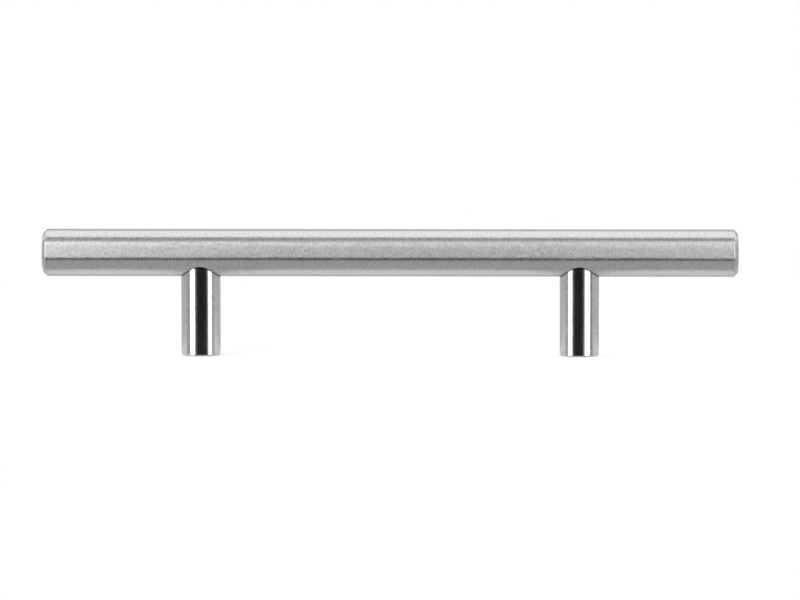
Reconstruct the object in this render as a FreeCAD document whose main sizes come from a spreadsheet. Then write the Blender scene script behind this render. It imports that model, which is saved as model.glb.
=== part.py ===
import FreeCAD, Part
import Sketcher
import os

# T-bar cabinet pull: a round steel bar carried on two round posts.
#
# The pull stands on the feet of its posts. Z = 0 is the door face that the feet seat on, +Z points away from
# the door, X runs along the bar, and the origin lies midway between the two screw holes. Lengths are in
# millimetres and angles in degrees.
#
# The bar is cut from ground round stock, faced and chamfered, and has two blind tapped holes in its
# underside. Each post is a short length of round stock. Its top is cut to a saddle that seats on the bar, and
# it is tapped from both ends: from the foot for the cabinet screw, and from the saddle for a set screw. The
# set screw is the stud that draws post and bar together. Tapped holes are drawn at the outside diameter of
# their thread.

PARTS_FOLDER = "parts"

# The driving dimensions, each with its value and what it is.
SIZES = {
    "screw_centres": (96.0, "distance between the two cabinet screws"),
    "projection": (32.0, "door face to the far side of the bar"),
    "bar_length": (176.0, "overall length of the bar"),
    "bar_diameter": (12.0, "ground round stock"),
    "bar_end_chamfer": (1.0, "45 degree chamfer at each end of the bar"),
    "edge_softening": (0.8, "radius that rolls over both edges of that chamfer"),
    "post_diameter": (10.0, "round stock of the posts"),
    "foot_edge_break": (0.3, "45 degree edge break round the foot of a post"),
    "saddle_edge_break": (0.15, "edge break round the rim of the saddle"),
    "screw_diameter": (4.0, "thread of the cabinet screw"),
    "screw_hole_depth": (9.0, "full thread depth in the foot of a post"),
    "countersink_diameter": (4.8, "countersink at the mouth of the screw hole"),
    "countersink_angle": (90.0, "angle of that countersink"),
    "stud_diameter": (5.0, "thread of the set screw"),
    "stud_length": (12.0, "length of the set screw, half in the bar and half in the post"),
    "stud_end_chamfer": (0.5, "45 degree chamfer at the socket end of the set screw"),
    "cup_diameter": (2.5, "rim of the cup at the point of the set screw"),
    "cup_angle": (120.0, "cone inside that cup"),
    "socket_width": (2.5, "hexagon socket, across its flats"),
    "socket_depth": (2.5, "depth of that socket"),
    "thread_clearance": (0.02, "gap all round between a thread and its hole"),
    "hole_end_clearance": (0.2, "gap between an end of the stud and the full depth of its hole"),
    "drill_point_angle": (118.0, "cone that a drill leaves at the end of a hole"),
}

# Expressions that several pieces share. The stock of a post reaches a quarter of the way up the bar, so that
# its saddle never wraps more than a third of the round.
BAR_AXIS_HEIGHT = "(Sizes.projection - Sizes.bar_diameter / 2)"
POST_STOCK_HEIGHT = "(Sizes.projection - Sizes.bar_diameter * 3 / 4)"
STUD_LOWER_END_HEIGHT = "(Sizes.projection - Sizes.bar_diameter - Sizes.stud_length / 2)"
STUD_HOLE_DIAMETER = "(Sizes.stud_diameter + 2 * Sizes.thread_clearance)"
STUD_HOLE_DEPTH = "(Sizes.stud_length / 2 + Sizes.hole_end_clearance)"
SCREW_HOLE_DIAMETER = "(Sizes.screw_diameter + 2 * Sizes.thread_clearance)"

SIDES = {"left": "-Sizes.screw_centres / 2", "right": "Sizes.screw_centres / 2"}

# How a sketch names its origin, its two axes and the points of a line or circle.
ACROSS_AXIS_INDEX, UPRIGHT_AXIS_INDEX = -1, -2
START_INDEX, END_INDEX, CENTRE_INDEX = 1, 2, 3
ORIGIN_POINT = (ACROSS_AXIS_INDEX, START_INDEX)
SKETCH_NORMAL = FreeCAD.Vector(0, 0, 1)


def make_sizes(doc):
    """The table of driving dimensions, one row each: name, value, note."""
    sheet = doc.addObject("Spreadsheet::Sheet", "Sizes")
    for row, (alias, (value, note)) in enumerate(SIZES.items(), start=1):
        sheet.set(f"A{row}", alias)
        sheet.set(f"B{row}", str(value))
        sheet.set(f"C{row}", note)
        sheet.setAlias(f"B{row}", alias)
    doc.recompute()


def value_of(item, expression):
    """What an expression of the driving dimensions comes to."""
    return float(item.Document.Sizes.evalExpression(expression))


def make_body(doc, name):
    body = doc.addObject("PartDesign::Body", name)
    body.Label = name
    return body


def place_body(body, across, height):
    """Puts a finished body at X = across and Z = height, both expressions."""
    body.setExpression("Placement.Base.x", across)
    body.setExpression("Placement.Base.z", height)


def make_sketch(body, name, plane_role, offset="0"):
    """An empty sketch on one of the body's own planes, moved along the plane's normal by an expression."""
    sketch = body.newObject("Sketcher::SketchObject", f"{body.Name}_{name}")
    plane = next(feature for feature in body.Origin.OriginFeatures if feature.Role == plane_role)
    sketch.AttachmentSupport = [(plane, "")]
    sketch.MapMode = "FlatFace"
    sketch.setExpression("AttachmentOffset.Base.z", offset)
    return sketch


def drive(sketch, kind, elements, name, expression):
    """Adds a dimension between elements of a sketch, names it and ties it to an expression."""
    constraint = Sketcher.Constraint(kind, *elements, value_of(sketch, expression))
    index = sketch.addConstraint(constraint)
    sketch.renameConstraint(index, name)
    sketch.setExpression(f"Constraints.{name}", expression)


def constrain(sketch, kind, *elements):
    sketch.addConstraint(Sketcher.Constraint(kind, *elements))


def draw_circle(sketch, diameter, across="0", up="0"):
    centre = FreeCAD.Vector(value_of(sketch, across), value_of(sketch, up), 0)
    return sketch.addGeometry(Part.Circle(centre, SKETCH_NORMAL, value_of(sketch, diameter) / 2))


def add_circle(sketch, diameter):
    """A circle about the sketch's origin."""
    circle = draw_circle(sketch, diameter)
    constrain(sketch, "Coincident", circle, CENTRE_INDEX, *ORIGIN_POINT)
    drive(sketch, "Diameter", (circle,), "diameter", diameter)


def add_raised_circle(sketch, diameter, height):
    """A circle on the sketch's upright axis, at a height."""
    circle = draw_circle(sketch, diameter, up=height)
    constrain(sketch, "PointOnObject", circle, CENTRE_INDEX, UPRIGHT_AXIS_INDEX)
    drive(sketch, "DistanceY", (*ORIGIN_POINT, circle, CENTRE_INDEX), "height", height)
    drive(sketch, "Diameter", (circle,), "diameter", diameter)


def add_circle_pair(sketch, diameter, spacing):
    """Two equal circles on the sketch's level axis, spaced evenly about its origin."""
    left = draw_circle(sketch, diameter, across=f"-{spacing} / 2")
    right = draw_circle(sketch, diameter, across=f"{spacing} / 2")
    constrain(sketch, "PointOnObject", left, CENTRE_INDEX, ACROSS_AXIS_INDEX)
    constrain(sketch, "Symmetric", left, CENTRE_INDEX, right, CENTRE_INDEX, *ORIGIN_POINT)
    constrain(sketch, "Equal", left, right)
    drive(sketch, "DistanceX", (left, CENTRE_INDEX, right, CENTRE_INDEX), "spacing", spacing)
    drive(sketch, "Diameter", (left,), "diameter", diameter)


def draw_closed_lines(sketch, corners):
    """Straight lines from corner to corner and back to the first, joined end to end."""
    ends = zip(corners, corners[1:] + corners[:1])
    lines = [sketch.addGeometry(Part.LineSegment(here, there)) for here, there in ends]
    for line, following in zip(lines, lines[1:] + lines[:1]):
        constrain(sketch, "Coincident", line, END_INDEX, following, START_INDEX)
    return lines


def add_outline(sketch, points):
    """A closed outline whose corners are pairs of expressions: distance across, distance up."""
    corners = [FreeCAD.Vector(value_of(sketch, across), value_of(sketch, up), 0) for across, up in points]
    lines = draw_closed_lines(sketch, corners)
    for line, (across, up) in zip(lines, points):
        if across == "0":
            constrain(sketch, "PointOnObject", line, START_INDEX, UPRIGHT_AXIS_INDEX)
        else:
            drive(sketch, "DistanceX", (*ORIGIN_POINT, line, START_INDEX), f"across_{line}", across)
        if up == "0":
            constrain(sketch, "PointOnObject", line, START_INDEX, ACROSS_AXIS_INDEX)
        else:
            drive(sketch, "DistanceY", (*ORIGIN_POINT, line, START_INDEX), f"up_{line}", up)


def add_hexagon(sketch, across_flats):
    """A regular hexagon about the sketch's origin, with two flats level."""
    sides = 6
    corner_circle = draw_circle(sketch, f"{across_flats} / cos(180deg / {sides})")
    sketch.setConstruction(corner_circle, True)
    constrain(sketch, "Coincident", corner_circle, CENTRE_INDEX, *ORIGIN_POINT)
    first_corner = FreeCAD.Vector(sketch.Geometry[corner_circle].Radius, 0, 0)
    turns = [FreeCAD.Rotation(SKETCH_NORMAL, 360 / sides * index) for index in range(sides)]
    lines = draw_closed_lines(sketch, [turn.multVec(first_corner) for turn in turns])
    for line in lines:
        constrain(sketch, "PointOnObject", line, START_INDEX, corner_circle)
    for line in lines[1:]:
        constrain(sketch, "Equal", lines[0], line)
    top, bottom = lines[1], lines[1 + sides // 2]
    constrain(sketch, "Horizontal", top)
    drive(sketch, "Distance", (top, START_INDEX, bottom), "across_flats", across_flats)


def add_pad(body, sketch, name, length, side_type):
    pad = body.newObject("PartDesign::Pad", f"{body.Name}_{name}")
    pad.Profile = sketch
    pad.SideType = side_type
    pad.setExpression("Length", length)
    return pad


def add_hole(body, sketch, name, diameter, depth, upwards):
    """A blind hole at each circle of the sketch, with the cone of the drill's point at its end."""
    body.Document.recompute()
    hole = body.newObject("PartDesign::Hole", f"{body.Name}_{name}")
    hole.Profile = sketch
    hole.Reversed = upwards
    hole.DepthType = "Dimension"
    hole.DrillPoint = "Angled"
    hole.setExpression("Diameter", diameter)
    hole.setExpression("Depth", depth)
    hole.setExpression("DrillPointAngle", "Sizes.drill_point_angle")
    return hole


def edges_where(feature, wanted):
    """The names of the feature's edges that pass a test."""
    feature.Document.recompute()
    return [f"Edge{number}" for number, edge in enumerate(feature.Shape.Edges, start=1) if wanted(edge)]


def is_circular(edge):
    return isinstance(edge.Curve, Part.Circle)


def is_foot_rim(edge):
    """True for the circle at Z = 0."""
    return is_circular(edge) and abs(edge.CenterOfMass.z) < Part.Precision.confusion()


def is_saddle_rim(edge):
    """True for the curve in which the bar's surface cuts the side of a post."""
    return not isinstance(edge.Curve, (Part.Line, Part.Circle))


def dress_edges(body, kind, base, wanted, name, size_property, size):
    """Chamfers or fillets the edges of the base feature that pass a test."""
    feature = body.newObject(f"PartDesign::{kind}", f"{body.Name}_{name}")
    feature.Base = (base, edges_where(base, wanted))
    feature.setExpression(size_property, size)
    return feature


def make_bar(doc):
    """The bar, along X about its own axis, with a blind tapped hole in its underside over each post."""
    body = make_body(doc, "bar")
    section = make_sketch(body, "section", "YZ_Plane")
    add_circle(section, "Sizes.bar_diameter")
    stock = add_pad(body, section, "stock", "Sizes.bar_length", "Symmetric")
    ends = dress_edges(body, "Chamfer", stock, is_circular, "ends", "Size", "Sizes.bar_end_chamfer")
    dress_edges(body, "Fillet", ends, is_circular, "soft_edges", "Radius", "Sizes.edge_softening")

    hole_centres = make_sketch(body, "hole_centres", "XY_Plane", "-Sizes.bar_diameter / 2")
    add_circle_pair(hole_centres, STUD_HOLE_DIAMETER, "Sizes.screw_centres")
    add_hole(body, hole_centres, "stud_holes", STUD_HOLE_DIAMETER, STUD_HOLE_DEPTH, upwards=True)
    place_body(body, "0", BAR_AXIS_HEIGHT)
    return body


def make_post(doc, side):
    """A post, upright on its foot: cut to a saddle for the bar at its top and tapped from both ends."""
    body = make_body(doc, f"{side}_post")
    section = make_sketch(body, "section", "XY_Plane")
    add_circle(section, "Sizes.post_diameter")
    add_pad(body, section, "stock", POST_STOCK_HEIGHT, "One side")

    bar_section = make_sketch(body, "bar_section", "YZ_Plane")
    add_raised_circle(bar_section, "Sizes.bar_diameter", BAR_AXIS_HEIGHT)
    saddle = body.newObject("PartDesign::Pocket", f"{body.Name}_saddle")
    saddle.Profile = bar_section
    saddle.SideType = "Symmetric"
    saddle.Type = "ThroughAll"

    foot = dress_edges(body, "Chamfer", saddle, is_foot_rim, "foot_rim", "Size", "Sizes.foot_edge_break")
    dress_edges(body, "Chamfer", foot, is_saddle_rim, "saddle_rim", "Size", "Sizes.saddle_edge_break")

    stud_centre = make_sketch(body, "stud_centre", "XY_Plane", BAR_AXIS_HEIGHT)
    add_circle(stud_centre, STUD_HOLE_DIAMETER)
    depth_from_bar_axis = f"Sizes.bar_diameter / 2 + {STUD_HOLE_DEPTH}"
    add_hole(body, stud_centre, "stud_hole", STUD_HOLE_DIAMETER, depth_from_bar_axis, upwards=False)

    screw_centre = make_sketch(body, "screw_centre", "XY_Plane")
    add_circle(screw_centre, SCREW_HOLE_DIAMETER)
    screw_hole = add_hole(
        body, screw_centre, "screw_hole", SCREW_HOLE_DIAMETER, "Sizes.screw_hole_depth", upwards=True
    )
    screw_hole.HoleCutType = "Countersink"
    screw_hole.HoleCutCustomValues = True
    screw_hole.setExpression("HoleCutDiameter", "Sizes.countersink_diameter")
    screw_hole.setExpression("HoleCutCountersinkAngle", "Sizes.countersink_angle")
    place_body(body, SIDES[side], "0")
    return body


def make_stud(doc, side):
    """A set screw standing on its socket end: a turned blank with a cup at its point and a hexagon socket."""
    body = make_body(doc, f"{side}_stud")
    radius = "Sizes.stud_diameter / 2"
    cup_radius = "Sizes.cup_diameter / 2"
    cup_depth = f"{cup_radius} / tan(Sizes.cup_angle * 1deg / 2)"
    profile = make_sketch(body, "profile", "XZ_Plane")
    add_outline(
        profile,
        [
            ("0", "0"),
            (f"{radius} - Sizes.stud_end_chamfer", "0"),
            (radius, "Sizes.stud_end_chamfer"),
            (radius, f"Sizes.stud_length - ({radius} - {cup_radius})"),
            (cup_radius, "Sizes.stud_length"),
            ("0", f"Sizes.stud_length - {cup_depth}"),
        ],
    )
    blank = body.newObject("PartDesign::Revolution", f"{body.Name}_blank")
    blank.Profile = profile
    blank.ReferenceAxis = (profile, ["V_Axis"])
    blank.Angle = 360

    hexagon = make_sketch(body, "hexagon", "XY_Plane")
    add_hexagon(hexagon, "Sizes.socket_width")
    socket = body.newObject("PartDesign::Pocket", f"{body.Name}_socket")
    socket.Profile = hexagon
    socket.Reversed = True
    socket.setExpression("Length", "Sizes.socket_depth")
    place_body(body, SIDES[side], STUD_LOWER_END_HEIGHT)
    return body


def check_document(doc, bodies):
    """Stops if a feature failed, a sketch is free to move, or a body isn't one valid solid."""
    doc.recompute()
    for item in doc.Objects:
        if "Invalid" in item.State or "Error" in item.State:
            raise RuntimeError(f"{item.Label} failed: {item.State}")
        if item.isDerivedFrom("Sketcher::SketchObject") and not item.FullyConstrained:
            raise RuntimeError(f"{item.Label} isn't fully constrained")
    for body in bodies:
        shape = body.Shape
        if shape.isNull() or not shape.isValid() or len(shape.Solids) != 1:
            raise RuntimeError(f"{body.Label} is not one valid solid")


def check_cuts(bodies):
    """Stops if a pocket, hole, chamfer or fillet took nothing away."""
    for body in bodies:
        features = [item for item in body.Group if item.isDerivedFrom("PartDesign::Feature")]
        for before, after in zip(features, features[1:]):
            if after.Shape.Volume >= before.Shape.Volume:
                raise RuntimeError(f"{after.Label} cut nothing")


def export_bodies(bodies):
    os.makedirs(PARTS_FOLDER, exist_ok=True)
    for body in bodies:
        body.Shape.exportStep(os.path.join(PARTS_FOLDER, f"{body.Label}.step"))
        print(f"{body.Label}: {body.Shape.Volume:.2f} mm3")


def main():
    doc = FreeCAD.newDocument("cabinet_pull")
    make_sizes(doc)
    bodies = [make_bar(doc)]
    for side in SIDES:
        bodies.append(make_post(doc, side))
        bodies.append(make_stud(doc, side))
    check_document(doc, bodies)
    check_cuts(bodies)
    export_bodies(bodies)


main()
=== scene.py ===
import math

import bpy
from mathutils import Matrix, Vector


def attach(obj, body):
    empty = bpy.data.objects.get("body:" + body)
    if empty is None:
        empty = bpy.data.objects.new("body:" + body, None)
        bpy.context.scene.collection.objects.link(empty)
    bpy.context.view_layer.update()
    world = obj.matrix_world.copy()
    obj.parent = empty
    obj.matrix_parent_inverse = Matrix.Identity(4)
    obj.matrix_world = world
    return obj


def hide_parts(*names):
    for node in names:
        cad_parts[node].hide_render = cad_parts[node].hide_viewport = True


# T-bar cabinet pull of brushed stainless steel, seen from the front on a pale floor.
#
# The frame is the CAD model's: X along the bar, Z up from the face that the feet stand on, and the camera
# looks along +Y. Lengths are in metres, built up from millimetres, and angles are in degrees.

MM = 0.001

# The shape of the pull, as in the CAD model.
BAR_LENGTH = 176 * MM
BAR_RADIUS = 6 * MM
BAR_CHAMFER = 1 * MM
EDGE_RADIUS = 0.8 * MM
AXIS_HEIGHT = 26 * MM
POST_RADIUS = 5 * MM
POST_PLACES = {"left_post": -48 * MM, "right_post": 48 * MM}
FOOT_BREAK = 0.3 * MM
SADDLE_BREAK = 0.15 * MM
SCREW_HOLE_RADIUS = 2.02 * MM
SCREW_HOLE_DEPTH = 9 * MM
COUNTERSINK_RADIUS = 2.4 * MM
STUD_HOLE_RADIUS = 2.52 * MM
STUD_HOLE_FLOOR = 13.8 * MM
BAR_HOLE_TOP = 26.2 * MM
DRILL_POINT_ANGLE = 118
DRILL_SLOPE = math.tan(math.radians(90 - DRILL_POINT_ANGLE / 2))

# The M4 thread cut in each foot.
THREAD_PITCH = 0.7 * MM
THREAD_ROOT_RADIUS = 2.06 * MM
THREAD_CREST_RADIUS = 1.68 * MM
THREAD_ROOT_HALF_WIDTH = 0.31 * MM
THREAD_CREST_HALF_WIDTH = 0.06 * MM
THREAD_START = 0.75 * MM
THREAD_TURNS = 11
THREAD_FADE_TURNS = 0.6
THREAD_STEPS_PER_TURN = 48

# How finely the meshes are cut, and the angle from which an edge is shaded sharp.
BAR_SEGMENTS = 192
POST_SEGMENTS = 144
EDGE_STEPS = 8
SHARP_EDGE = 30

# The camera, as found from the outline of the pull in the photograph. Lens and sensor are in millimetres.
CAMERA_PLACE = (37.84 * MM, -1127.65 * MM, 96.12 * MM)
CAMERA_TURN = 1.79
CAMERA_DIP = 4.163
CAMERA_ROLL = 0.034
CAMERA_LENS = 200.77
CAMERA_SENSOR = 36
CAMERA_REACH = 32

# The steel of each kind of piece. The unevenness is the share by which its colour and its roughness go up
# and down from groove to groove.
STEEL_COLOUR = (0.55, 0.537, 0.554)
BAR_STEEL = {
    "base": STEEL_COLOUR,
    "roughness": 0.35,
    "unevenness": 0.1,
    "anisotropy": 1,
    "fine_depth": 0.003 * MM,
    "coarse_depth": 0.009 * MM,
}
POST_STEEL = {
    "base": STEEL_COLOUR,
    "roughness": 0.219,
    "unevenness": 0.06,
    "anisotropy": 0.59,
    "fine_depth": 0.002 * MM,
    "coarse_depth": 0.003 * MM,
}
STUD_STEEL = {
    "base": (0.4, 0.39, 0.4),
    "roughness": 0.3,
    "unevenness": 0.1,
    "anisotropy": 0.8,
    "fine_depth": 0.004 * MM,
    "coarse_depth": 0.004 * MM,
}

# The grooves: their widths, how many times longer than wide their marks are, the detail of their noise,
# and the two values of the coarse noise that are stretched to 0 and 1.
FINE_GROOVE = 0.1 * MM
COARSE_GROOVE = 0.17 * MM
MARK_STRETCH = 5
FINE_DETAIL = 2
COARSE_DETAIL = 0
COARSE_LOW = 0.41
COARSE_HIGH = 0.59

# How far the stretched shine is turned from the tangent, as a share of a full turn.
QUARTER_TURN = 0.25

# The painted shade round the saddle: a dark line painted into the posts' colour where the gap at the bar
# is in shade. Its width, over which it fades out as well, and the share of the colour that is left in it.
PAINTED_SEAM_SHADE_WIDTH = 0.16 * MM
PAINTED_SEAM_SHADE_LEVEL = 0.3

# The smoother finish of the chamfer: how far inside the radius of the side it begins, is full, fades again
# and ends, and the share of the roughness that is left in it.
TURNED_BEGINS = 0.105 * MM
TURNED_FULL = 0.21 * MM
TURNED_FADES = 0.99 * MM
TURNED_ENDS = 1.1 * MM
TURNED_SHARE = 0.45

WHITE = (1, 1, 1, 1)

# The floor. The steel sees only a patch of it, under the pull, and sees past the rest to two cards below
# its level. Away from the pull, the floor fades to the white of the background.
FLOOR_COLOUR = (0.93, 0.93, 0.93)
FLOOR_REACH = 8
FLOOR_LEVEL = -0.05 * MM
PATCH_HALF_LENGTH = 92 * MM
PATCH_FRONT = -3.8 * MM
PATCH_BACK = 18 * MM
CARD_LEVEL = -60 * MM
CARD_REACH = 600 * MM
GREY_CARD = 0.58
GREY_CARD_FRONT = -127 * MM
BLACK_CARD_FRONT = -150 * MM
FADE_START = 110 * MM
FADE_END = 270 * MM
LEAST_FADE = 0.5

# The two tall soft boxes and their dim inner edges: both ends in plan and the bottom, in millimetres, and
# the radiance. All reach up to one level.
SOFT_BOXES = {
    "left_box": ((-366, -191), (-262, -306), -104, 6.2),
    "left_box_edge": ((-262, -306), (-228, -344), -104, 0.45),
    "right_box_edge": ((152, -226), (187, -216), -76, 0.45),
    "right_box": ((187, -216), (378, -158), -76, 2.88),
}
BOX_TOP = 440

# The soft box overhead.
OVERHEAD_HEIGHT = 526 * MM
OVERHEAD_HALF_LENGTH = 900 * MM
OVERHEAD_FRONT = -42 * MM
OVERHEAD_BACK = 555 * MM
OVERHEAD_RADIANCE = 0.82

# The walls of the light tent. Each stop is an angle and the level there: of the climb above the horizon,
# at the front and at the back, and of the bearing from straight ahead, where 1 takes the back's level.
SURROUND_RADIUS = 3
SURROUND_SEGMENTS = 64
SURROUND_RINGS = 32
DARK = 0.006
FRONT_STOPS = (
    (-180, DARK),
    (10, DARK),
    (30, 0.02),
    (49, 0.11),
    (58, 0.57),
    (69.5, 0.72),
    (72.3, 0.22),
    (84.5, 0.22),
    (87, 0.7),
    (180, 0.7),
)
BACK_STOPS = ((-180, 0.7), (8, 0.7), (25, 0.74), (180, 0.74))
BEARING_STOPS = ((-180, 1), (-90, 1), (-64, 0.4), (-58, 0), (74, 0), (78, 1), (180, 1))

# The fill light from all round, beside a background of 1.
FILL_LEVEL = 0.75

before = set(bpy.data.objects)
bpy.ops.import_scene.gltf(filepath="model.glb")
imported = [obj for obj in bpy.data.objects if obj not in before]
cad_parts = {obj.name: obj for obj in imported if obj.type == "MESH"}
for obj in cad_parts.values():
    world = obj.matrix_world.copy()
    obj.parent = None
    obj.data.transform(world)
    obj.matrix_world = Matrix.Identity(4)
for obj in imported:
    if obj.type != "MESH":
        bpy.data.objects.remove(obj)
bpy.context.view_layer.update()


# Meshes


def add_object(name, data):
    item = bpy.data.objects.new(name, data)
    bpy.context.scene.collection.objects.link(item)
    return item


def smooth(mesh):
    """Smooth shading, but for the sharp edges."""
    mesh.polygons.foreach_set("use_smooth", [True] * len(mesh.polygons))
    mesh.set_sharp_from_angle(angle=math.radians(SHARP_EDGE))


def skin(name, rings):
    """An object with a mesh over rings of points, in order. A ring of one point is a pole."""
    vertices, faces, starts = [], [], []
    for ring in rings:
        starts.append(len(vertices))
        vertices.extend(ring)
    for (here, first), (there, second) in zip(zip(rings, starts), zip(rings[1:], starts[1:])):
        count = max(len(here), len(there))
        for index in range(count):
            following = (index + 1) % count
            if len(here) == 1:
                faces.append((first, second + following, second + index))
            elif len(there) == 1:
                faces.append((first + index, first + following, second))
            else:
                faces.append((first + index, first + following, second + following, second + index))
    mesh = bpy.data.meshes.new(name)
    mesh.from_pydata(vertices, [], faces)
    mesh.validate()
    smooth(mesh)
    return add_object(name, mesh)


def turns(count):
    """Angles evenly round a circle, in radians."""
    return [2 * math.pi * index / count for index in range(count)]


def rounded(corners, radius, steps):
    """The corners of a profile, with an arc of the radius in place of each that isn't an end."""
    points = [corners[0]]
    for before, corner, after in zip(corners, corners[1:], corners[2:]):
        before, corner, after = Vector(before), Vector(corner), Vector(after)
        arrive, leave = (corner - before).normalized(), (after - corner).normalized()
        bend = arrive.angle(leave)
        setback = radius * math.tan(bend / 2)
        centre = corner + (leave - arrive).normalized() * radius / math.cos(bend / 2)
        start = corner - arrive * setback - centre
        side = 1 if arrive.cross(leave) > 0 else -1
        for step in range(steps + 1):
            points.append(tuple(centre + Matrix.Rotation(side * bend * step / steps, 2) @ start))
    return points + [corners[-1]]


def make_bar():
    """The bar: ground round stock, faced and chamfered, with a blind hole over each post."""
    half = BAR_LENGTH / 2
    end = [
        (-half, 0),
        (-half, BAR_RADIUS - BAR_CHAMFER),
        (-half + BAR_CHAMFER, BAR_RADIUS),
        (0, BAR_RADIUS),
    ]
    # The last corner only gives the direction of the side.
    left_half = rounded(end, EDGE_RADIUS, EDGE_STEPS)[:-1]
    # Two more rings keep the hole among short faces.
    beside_hole = [POST_PLACES["left_post"] + side * POST_RADIUS for side in (-1, 1)]
    left_half += [(across, BAR_RADIUS) for across in beside_hole]
    profile = left_half + [(-across, radius) for across, radius in reversed(left_half)]
    rings = []
    for across, radius in profile:
        angles = turns(BAR_SEGMENTS) if radius else [0]
        rings.append(
            [(across, radius * math.sin(turn), AXIS_HEIGHT - radius * math.cos(turn)) for turn in angles]
        )
    bar = skin("brushed_bar", rings)
    for name, across in POST_PLACES.items():
        cut_bar_hole(bar, name, across)
    smooth(bar.data)
    return bar


def cut_bar_hole(bar, name, across):
    """Cuts the blind hole over a post into the underside of the bar, from well below it."""
    below_bar = AXIS_HEIGHT - 2 * BAR_RADIUS
    levels = (
        (0, below_bar),
        (STUD_HOLE_RADIUS, below_bar),
        (STUD_HOLE_RADIUS, BAR_HOLE_TOP),
        (0, BAR_HOLE_TOP + STUD_HOLE_RADIUS * DRILL_SLOPE),
    )
    drill = skin(f"{name}_drill", [level_ring(across, radius, height) for radius, height in levels])
    cut = bar.modifiers.new("hole", "BOOLEAN")
    cut.operation, cut.solver, cut.object = "DIFFERENCE", "EXACT", drill
    bpy.context.view_layer.update()
    shape = bpy.data.meshes.new_from_object(bar.evaluated_get(bpy.context.evaluated_depsgraph_get()))
    bar.modifiers.clear()
    bar.data = shape
    bpy.data.objects.remove(drill)


def level_ring(across, radius, height):
    """A ring about the upright axis at X = across. Its height is a number, or a function of Y."""
    ring = []
    for turn in turns(POST_SEGMENTS) if radius else [0]:
        y = radius * math.sin(turn)
        ring.append((across + radius * math.cos(turn), y, height(y) if callable(height) else height))
    return ring


def saddle_height(y):
    """The height of the bar's underside."""
    return AXIS_HEIGHT - math.sqrt(BAR_RADIUS**2 - y**2)


def make_post(name, across):
    """A post, from the cone of its screw hole round its outside to the cone of its stud hole."""
    countersink_depth = COUNTERSINK_RADIUS - SCREW_HOLE_RADIUS
    levels = [
        (0, SCREW_HOLE_DEPTH + SCREW_HOLE_RADIUS * DRILL_SLOPE),
        (SCREW_HOLE_RADIUS, SCREW_HOLE_DEPTH),
        (SCREW_HOLE_RADIUS, countersink_depth),
        (COUNTERSINK_RADIUS, 0),
        (POST_RADIUS - FOOT_BREAK, 0),
        (POST_RADIUS, FOOT_BREAK),
        (POST_RADIUS, lambda y: saddle_height(y) - SADDLE_BREAK),
        (POST_RADIUS - SADDLE_BREAK, saddle_height),
        (STUD_HOLE_RADIUS, saddle_height),
        (STUD_HOLE_RADIUS, STUD_HOLE_FLOOR),
        (0, STUD_HOLE_FLOOR - STUD_HOLE_RADIUS * DRILL_SLOPE),
    ]
    return skin(f"brushed_{name}", [level_ring(across, radius, height) for radius, height in levels])


def make_thread(name, across):
    """The ridge of the thread, a helix up the wall of the screw hole that fades out at both ends."""
    rings = []
    for step in range(THREAD_TURNS * THREAD_STEPS_PER_TURN + 1):
        turned = step / THREAD_STEPS_PER_TURN
        angle = 2 * math.pi * turned
        grown = min(1, turned / THREAD_FADE_TURNS, (THREAD_TURNS - turned) / THREAD_FADE_TURNS)
        crest = THREAD_ROOT_RADIUS - grown * (THREAD_ROOT_RADIUS - THREAD_CREST_RADIUS)
        height = THREAD_START + turned * THREAD_PITCH
        ring = []
        for radius, rise in (
            (THREAD_ROOT_RADIUS, -THREAD_ROOT_HALF_WIDTH),
            (THREAD_ROOT_RADIUS, THREAD_ROOT_HALF_WIDTH),
            (crest, THREAD_CREST_HALF_WIDTH),
            (crest, -THREAD_CREST_HALF_WIDTH),
        ):
            ring.append((across + radius * math.cos(angle), radius * math.sin(angle), height + rise))
        rings.append(ring)
    for ring, at in ((rings[0], 0), (rings[-1], len(rings) + 1)):
        middle = sum((Vector(point) for point in ring), Vector()) / len(ring)
        rings.insert(at, [tuple(middle)])
    return skin(f"{name}_thread", rings)


# Materials


def new_tree(owner, output_kind):
    """The node tree of a material or world, emptied but for its output."""
    owner.use_nodes = True
    tree = owner.node_tree
    tree.nodes.clear()
    return tree, tree.nodes.new(output_kind)


def new_material(name):
    material = bpy.data.materials.new(name)
    return material, *new_tree(material, "ShaderNodeOutputMaterial")


def feed(tree, socket, value):
    """Sets a socket to a number or colour, or links another socket to it."""
    if isinstance(value, bpy.types.NodeSocket):
        tree.links.new(value, socket)
    else:
        socket.default_value = value


def add_math(tree, operation, *values):
    node = tree.nodes.new("ShaderNodeMath")
    node.operation = operation
    for socket, value in zip(node.inputs, values):
        feed(tree, socket, value)
    return node.outputs[0]


def add_map(tree, value, from_low, from_high, to_low=0, to_high=1, kind="LINEAR"):
    node = tree.nodes.new("ShaderNodeMapRange")
    node.interpolation_type = kind
    names = ("Value", "From Min", "From Max", "To Min", "To Max")
    for name, number in zip(names, (value, from_low, from_high, to_low, to_high)):
        feed(tree, node.inputs[name], number)
    return node.outputs[0]


def add_mix(tree, share, first, second):
    node = tree.nodes.new("ShaderNodeMixShader")
    for socket, value in zip(node.inputs, (share, first, second)):
        feed(tree, socket, value)
    return node.outputs[0]


def split_place(tree):
    """The three coordinates of a point of the object."""
    place = tree.nodes.new("ShaderNodeTexCoord")
    split = tree.nodes.new("ShaderNodeSeparateXYZ")
    tree.links.new(place.outputs["Object"], split.inputs[0])
    return split.outputs


def add_length(tree, legs):
    """The length of a vector with two legs."""
    squares = [add_math(tree, "MULTIPLY", leg, leg) for leg in legs]
    return add_math(tree, "SQRT", add_math(tree, "ADD", *squares))


def add_bump(tree, height, distance, below=None):
    node = tree.nodes.new("ShaderNodeBump")
    node.inputs["Distance"].default_value = distance
    tree.links.new(height, node.inputs["Height"])
    if below:
        tree.links.new(below, node.inputs["Normal"])
    return node.outputs[0]


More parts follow.
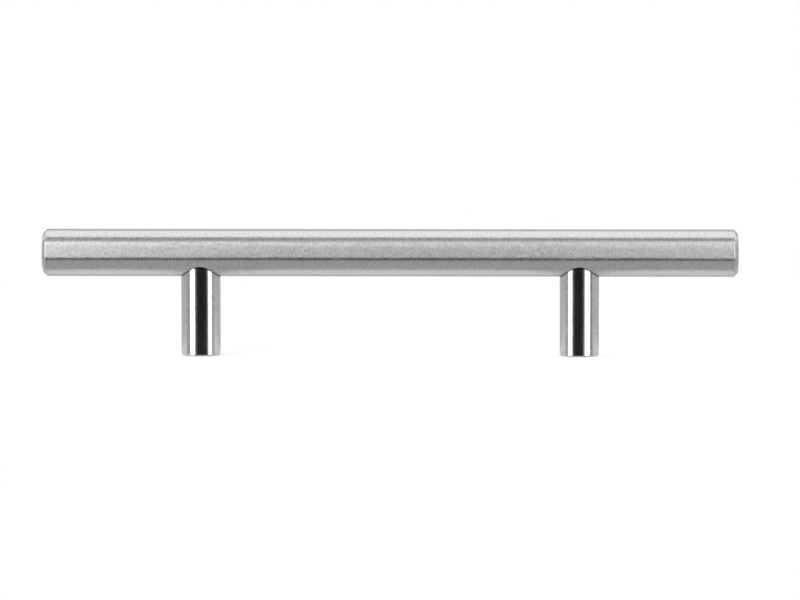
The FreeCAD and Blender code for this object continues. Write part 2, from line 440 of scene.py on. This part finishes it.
def brushed_steel(
    name, axis, centre, base, roughness, unevenness, anisotropy, fine_depth, coarse_depth, side=0
):
    """Steel brushed round an axis through centre: on its sides and its ends alike, the grooves are rings.

    Its colour, its roughness and its bump follow the same grooves. On an upright axis, its colour is
    darker where it meets the bar, a painted shade of the gap there. Where the radius of its side is given,
    the chamfer inside it is turned smoother.
    """
    material, tree, output = new_material(name)
    coordinates = split_place(tree)
    along = "XYZ".index(axis)
    across = [index for index in range(3) if index != along]
    legs = [add_math(tree, "SUBTRACT", coordinates[index], centre[index]) for index in across]
    radius = add_length(tree, legs)

    def add_rings(width, detail):
        """Noise that changes over the width along the axis and the radius, and slowly round the axis."""
        vector = tree.nodes.new("ShaderNodeCombineXYZ")
        tree.links.new(add_math(tree, "DIVIDE", coordinates[along], width), vector.inputs[0])
        for socket, leg in zip(vector.inputs[1:], legs):
            tree.links.new(add_math(tree, "DIVIDE", leg, width * MARK_STRETCH), socket)
        noise = tree.nodes.new("ShaderNodeTexNoise")
        noise.noise_dimensions = "4D"
        noise.inputs["Scale"].default_value = 1
        noise.inputs["Detail"].default_value = detail
        tree.links.new(vector.outputs[0], noise.inputs["Vector"])
        tree.links.new(add_math(tree, "DIVIDE", radius, width), noise.inputs["W"])
        return noise.outputs["Fac"]

    fine = add_rings(FINE_GROOVE, FINE_DETAIL)
    coarse = add_rings(COARSE_GROOVE, COARSE_DETAIL)
    coarse = add_map(tree, coarse, COARSE_LOW, COARSE_HIGH, 0, 1, "SMOOTHSTEP")
    shader = tree.nodes.new("ShaderNodeBsdfPrincipled")
    shader.inputs["Metallic"].default_value = 1
    shader.inputs["Anisotropic"].default_value = anisotropy
    shader.inputs["Anisotropic Rotation"].default_value = QUARTER_TURN
    paint = tree.nodes.new("ShaderNodeVectorMath")
    paint.operation = "SCALE"
    paint.inputs[0].default_value = base
    tone = add_map(tree, coarse, 0, 1, 1 - unevenness, 1 + unevenness)
    # Painted shade: on a post, the colour darkens in a thin line round the saddle, where the gap at the
    # bar is in shade.
    if axis == "Z":
        above_axis = add_math(tree, "SUBTRACT", coordinates[2], AXIS_HEIGHT)
        from_bar = add_length(tree, [coordinates[1], above_axis])
        painted_seam_shade = add_map(tree, from_bar, BAR_RADIUS + PAINTED_SEAM_SHADE_WIDTH, BAR_RADIUS + 2 * PAINTED_SEAM_SHADE_WIDTH, PAINTED_SEAM_SHADE_LEVEL, 1)
        tone = add_math(tree, "MULTIPLY", tone, painted_seam_shade)
    tree.links.new(tone, paint.inputs["Scale"])
    tree.links.new(paint.outputs[0], shader.inputs["Base Color"])
    rough = add_map(tree, coarse, 0, 1, roughness * (1 - unevenness), roughness * (1 + unevenness))
    if side:
        outwards = add_map(tree, radius, side - TURNED_FULL, side - TURNED_BEGINS, TURNED_SHARE, 1)
        inwards = add_map(tree, radius, side - TURNED_ENDS, side - TURNED_FADES, 1, TURNED_SHARE)
        rough = add_math(tree, "MULTIPLY", rough, add_math(tree, "MAXIMUM", outwards, inwards))
    tree.links.new(rough, shader.inputs["Roughness"])
    tangent = tree.nodes.new("ShaderNodeTangent")
    tangent.direction_type, tangent.axis = "RADIAL", axis
    tree.links.new(tangent.outputs[0], shader.inputs["Tangent"])
    grooves = add_bump(tree, coarse, coarse_depth, add_bump(tree, fine, fine_depth))
    tree.links.new(grooves, shader.inputs["Normal"])
    tree.links.new(shader.outputs[0], output.inputs["Surface"])
    return material


def paint_mesh(item, material):
    item.data.materials.clear()
    item.data.materials.append(material)


def dress_pull():
    """Stands a finely cut piece in for the bar and each post, adds the threads, and paints all of it."""
    bar = make_bar()
    paint_mesh(bar, brushed_steel("bar_steel", "X", (0, 0, AXIS_HEIGHT), **BAR_STEEL, side=BAR_RADIUS))
    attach(bar, "root")
    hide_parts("bar")
    for name, across in POST_PLACES.items():
        centre = (across, 0, 0)
        steel = brushed_steel(f"{name}_steel", "Z", centre, **POST_STEEL)
        post, thread = make_post(name, across), make_thread(name, across)
        for piece in (post, thread):
            paint_mesh(piece, steel)
            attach(piece, "root")
        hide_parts(name)
        stud = name.replace("post", "stud")
        paint_mesh(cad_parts[stud], brushed_steel(f"{stud}_steel", "Z", centre, **STUD_STEEL))


# Stage


def limit_sight(item, kinds):
    """Makes a stage object visible only to the named kinds of ray."""
    for kind in ("camera", "diffuse", "glossy", "transmission", "shadow"):
        setattr(item, f"visible_{kind}", kind in kinds)


def make_panel(name, sides, level, material, kinds):
    """A level rectangle of the stage. Its sides are left and right in X, and front and back in Y."""
    left, right, front, back = sides
    outline = [(left, front), (right, front), (right, back), (left, back)]
    mesh = bpy.data.meshes.new(name)
    mesh.from_pydata([(x, y, level) for x, y in outline], [], [range(len(outline))])
    mesh.materials.append(material)
    panel = add_object(name, mesh)
    limit_sight(panel, kinds)


def add_sight_mask(tree):
    """1 for what the camera sees, straight or mirrored in the steel, and 0 for light that is scattered."""
    rays = tree.nodes.new("ShaderNodeLightPath").outputs
    mirrored = add_math(tree, "MAXIMUM", rays["Is Glossy Ray"], rays["Is Transmission Ray"])
    return add_math(tree, "MAXIMUM", rays["Is Camera Ray"], mirrored)


def add_glow(tree, colour):
    node = tree.nodes.new("ShaderNodeEmission")
    feed(tree, node.inputs["Color"], colour)
    node.inputs["Strength"].default_value = 1
    return node.outputs[0]


def plain_glow(name, level):
    """A material that glows in an even grey, and isn't sampled as a lamp."""
    material, tree, output = new_material(name)
    tree.links.new(add_glow(tree, (level, level, level, 1)), output.inputs["Surface"])
    material.cycles.emission_sampling = "NONE"
    return material


def floor_paint():
    """Matt white, which turns to the white of the background away from the pull and keeps its shadow."""
    material, tree, output = new_material("floor_white")
    matt = tree.nodes.new("ShaderNodeBsdfDiffuse")
    matt.inputs["Color"].default_value = (*FLOOR_COLOUR, 1)
    distance = tree.nodes.new("ShaderNodeVectorMath")
    distance.operation = "LENGTH"
    place = tree.nodes.new("ShaderNodeTexCoord")
    tree.links.new(place.outputs["Object"], distance.inputs[0])
    fade = add_map(tree, distance.outputs["Value"], FADE_START, FADE_END, LEAST_FADE, 1, "SMOOTHSTEP")
    share = add_math(tree, "MULTIPLY", fade, add_sight_mask(tree))
    mix = add_mix(tree, share, matt.outputs[0], add_glow(tree, WHITE))
    tree.links.new(mix, output.inputs["Surface"])
    material.cycles.emission_sampling = "NONE"
    return material


def make_floor():
    """The floor, in pieces that look alike and meet round the patch that the steel sees."""
    white = floor_paint()
    for name, *sides in (
        ("floor", -PATCH_HALF_LENGTH, PATCH_HALF_LENGTH, PATCH_FRONT, PATCH_BACK),
        ("floor_front", -FLOOR_REACH, FLOOR_REACH, -FLOOR_REACH, PATCH_FRONT),
        ("floor_left", -FLOOR_REACH, -PATCH_HALF_LENGTH, PATCH_FRONT, PATCH_BACK),
        ("floor_right", PATCH_HALF_LENGTH, FLOOR_REACH, PATCH_FRONT, PATCH_BACK),
        ("floor_back", -FLOOR_REACH, FLOOR_REACH, PATCH_BACK, FLOOR_REACH),
    ):
        seen_by_steel = ("glossy", "transmission", "shadow") if name == "floor" else ()
        make_panel(name, sides, FLOOR_LEVEL, white, ("camera", "diffuse", *seen_by_steel))


def make_cards():
    """A grey card below the floor, and a black one in front of it."""
    for name, front, back, level in (
        ("grey_card", GREY_CARD_FRONT, PATCH_BACK, GREY_CARD),
        ("black_card", BLACK_CARD_FRONT, GREY_CARD_FRONT, DARK),
    ):
        sides = (-CARD_REACH, CARD_REACH, front, back)
        make_panel(name, sides, CARD_LEVEL, plain_glow(name, level), ("glossy", "shadow"))


def make_lamp(name, corner, along, up, radiance):
    """A rectangular lamp, from a corner and its two edges as vectors. It shines towards along cross up."""
    corner, along, up = Vector(corner), Vector(along), Vector(up)
    width, height = -along.normalized(), up.normalized()
    data = bpy.data.lights.new(name, "AREA")
    data.shape = "RECTANGLE"
    data.size, data.size_y = along.length, up.length
    data.energy = radiance * math.pi * along.length * up.length
    lamp = add_object(name, data)
    turn = Matrix((width, height, width.cross(height))).transposed().to_4x4()
    lamp.matrix_world = Matrix.Translation(corner + (along + up) / 2) @ turn
    lamp.visible_camera = False


def make_lamps():
    """The tall soft boxes in front of the pull, to its left and right, and the one overhead."""
    for name, (start, end, bottom, radiance) in SOFT_BOXES.items():
        start, end = (Vector((*place, bottom)) * MM for place in (start, end))
        make_lamp(name, end, start - end, (0, 0, (BOX_TOP - bottom) * MM), radiance)
    run = (0, OVERHEAD_FRONT - OVERHEAD_BACK, 0)
    corner = (-OVERHEAD_HALF_LENGTH, OVERHEAD_BACK, OVERHEAD_HEIGHT)
    make_lamp("overhead_box", corner, (2 * OVERHEAD_HALF_LENGTH, 0, 0), run, OVERHEAD_RADIANCE)


def add_ramp(tree, degrees, stops):
    """Grey levels over an angle, from the first stop to the last."""
    start, end = stops[0][0], stops[-1][0]
    ramp = tree.nodes.new("ShaderNodeValToRGB")
    tree.links.new(add_map(tree, degrees, start, end), ramp.inputs[0])
    elements = ramp.color_ramp.elements
    for angle, _ in stops[1:-1]:
        elements.new((angle - start) / (end - start))
    for element, (_, level) in zip(elements, stops):
        element.color = (level, level, level, 1)
    return ramp.outputs[0]


def make_surround():
    """The walls of the light tent, which only the steel sees: pale behind, dark on the camera's side."""
    material, tree, output = new_material("tent")
    x, y, z = split_place(tree)
    ahead = add_math(tree, "MULTIPLY", y, -1)
    bearing = add_math(tree, "DEGREES", add_math(tree, "ARCTAN2", x, ahead))
    climb = add_math(tree, "DEGREES", add_math(tree, "ARCTAN2", z, add_math(tree, "ABSOLUTE", y)))
    share = add_ramp(tree, bearing, BEARING_STOPS)
    front, back = (add_glow(tree, add_ramp(tree, climb, stops)) for stops in (FRONT_STOPS, BACK_STOPS))
    tree.links.new(add_mix(tree, share, front, back), output.inputs["Surface"])
    material.cycles.emission_sampling = "NONE"
    bpy.ops.mesh.primitive_uv_sphere_add(
        segments=SURROUND_SEGMENTS, ring_count=SURROUND_RINGS, radius=SURROUND_RADIUS
    )
    surround = bpy.context.object
    surround.name = "surround"
    paint_mesh(surround, material)
    limit_sight(surround, ("glossy",))


def make_world():
    """A white background, and the fill light from all round."""
    world = bpy.data.worlds.new("studio")
    bpy.context.scene.world = world
    tree, output = new_tree(world, "ShaderNodeOutputWorld")
    levels = []
    for strength in (FILL_LEVEL, 1):
        node = tree.nodes.new("ShaderNodeBackground")
        node.inputs["Color"].default_value = WHITE
        node.inputs["Strength"].default_value = strength
        levels.append(node.outputs[0])
    tree.links.new(add_mix(tree, add_sight_mask(tree), *levels), output.inputs["Surface"])


def make_camera():
    data = bpy.data.cameras.new("camera")
    data.lens = CAMERA_LENS
    data.sensor_width = CAMERA_SENSOR
    data.sensor_fit = "HORIZONTAL"
    data.clip_end = CAMERA_REACH
    camera = add_object("camera", data)
    camera.location = CAMERA_PLACE
    camera.rotation_euler = [math.radians(turn) for turn in (90 - CAMERA_DIP, CAMERA_ROLL, CAMERA_TURN)]
    bpy.context.scene.camera = camera


dress_pull()
make_floor()
make_cards()
make_lamps()
make_surround()
make_world()
make_camera()
bpy.context.scene.view_settings.view_transform = "Standard"
